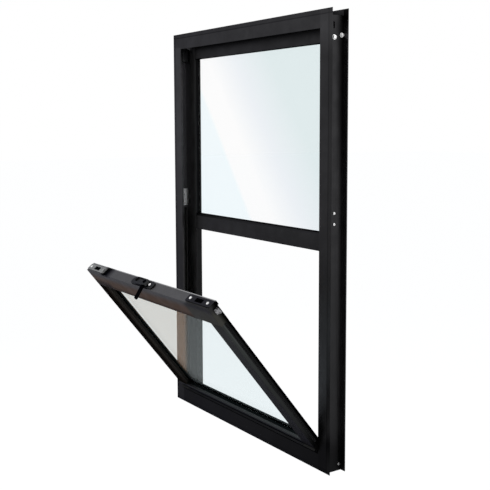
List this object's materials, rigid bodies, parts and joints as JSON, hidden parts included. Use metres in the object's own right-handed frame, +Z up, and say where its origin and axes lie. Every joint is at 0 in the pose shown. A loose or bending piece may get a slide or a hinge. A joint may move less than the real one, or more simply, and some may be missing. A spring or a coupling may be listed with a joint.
{
  "type": "single-hung tilt-in concession window",
  "caption": "Black aluminium serving window with a fixed upper pane and a lower sash tilted in on its bottom pivots, with tilt latches and a cam lock.",
  "frame": {"origin": "on the outdoor face of the sill's back flange, at mid-width and mid-height of that flange", "axes": "+X to the right as seen from indoors, +Y outdoors, +Z up"},
  "size_m": [0.61, 0.3179, 0.914],
  "materials": {
    "frame_black": "satin black powder coat on extruded aluminium",
    "sash_black": "satin black powder coat on extruded aluminium",
    "upper_pane": "clear float glass with a faint green cast",
    "sash_pane": "clear glass with a light reflective tint",
    "glazing_vinyl": "soft black vinyl",
    "pile": "black pile strip",
    "nylon": "moulded black nylon",
    "balance_metal": "dark steel channel",
    "zinc": "zinc plated steel",
    "screw_steel": "bright zinc plated screws",
    "sash_bead": "grey green glazing bead",
    "latch_grey": "moulded grey black latch housing",
    "lock_black": "black die cast lock"
  },
  "bodies": {
    "root": {"frame_head": "frame_black", "frame_sill": "frame_black", "frame_jamb_left": "frame_black", "frame_jamb_right": "frame_black", "meeting_rail": "frame_black", "upper_glass": "upper_pane", "upper_bead_top": "glazing_vinyl", "upper_bead_bottom": "glazing_vinyl", "upper_bead_left": "glazing_vinyl", "upper_bead_right": "glazing_vinyl", "upper_glazing_tape": "glazing_vinyl", "jamb_fillers": "frame_black", "sash_stop_left": "nylon", "sash_stop_right": "nylon", "balance_clip_left": "zinc", "balance_clip_right": "zinc", "balance_left": "balance_metal", "balance_right": "balance_metal", "balance_shoe_left": "nylon", "balance_shoe_right": "nylon", "pivot_bar_left": "zinc", "pivot_bar_right": "zinc", "corner_screws": "screw_steel", "channel_screws": "screw_steel", "sash_top_rail": "sash_black", "sash_bottom_rail": "sash_black", "sash_stile_left": "sash_black", "sash_stile_right": "sash_black", "sash_glass": "sash_pane", "sash_bead_top": "sash_bead", "sash_bead_bottom": "sash_bead", "sash_bead_left": "sash_bead", "sash_bead_right": "sash_bead", "sash_glazing_tape": "glazing_vinyl", "sash_piles": "pile", "sash_bottom_seal": "glazing_vinyl", "tilt_latch_left": "latch_grey", "tilt_latch_right": "latch_grey", "latch_bolt_left": "zinc", "latch_bolt_right": "zinc", "latch_buttons": "nylon", "latch_screws": "screw_steel", "lock_base": "lock_black", "lock_lever": "lock_black", "lock_screws": "screw_steel"}
  },
  "joints": []
}
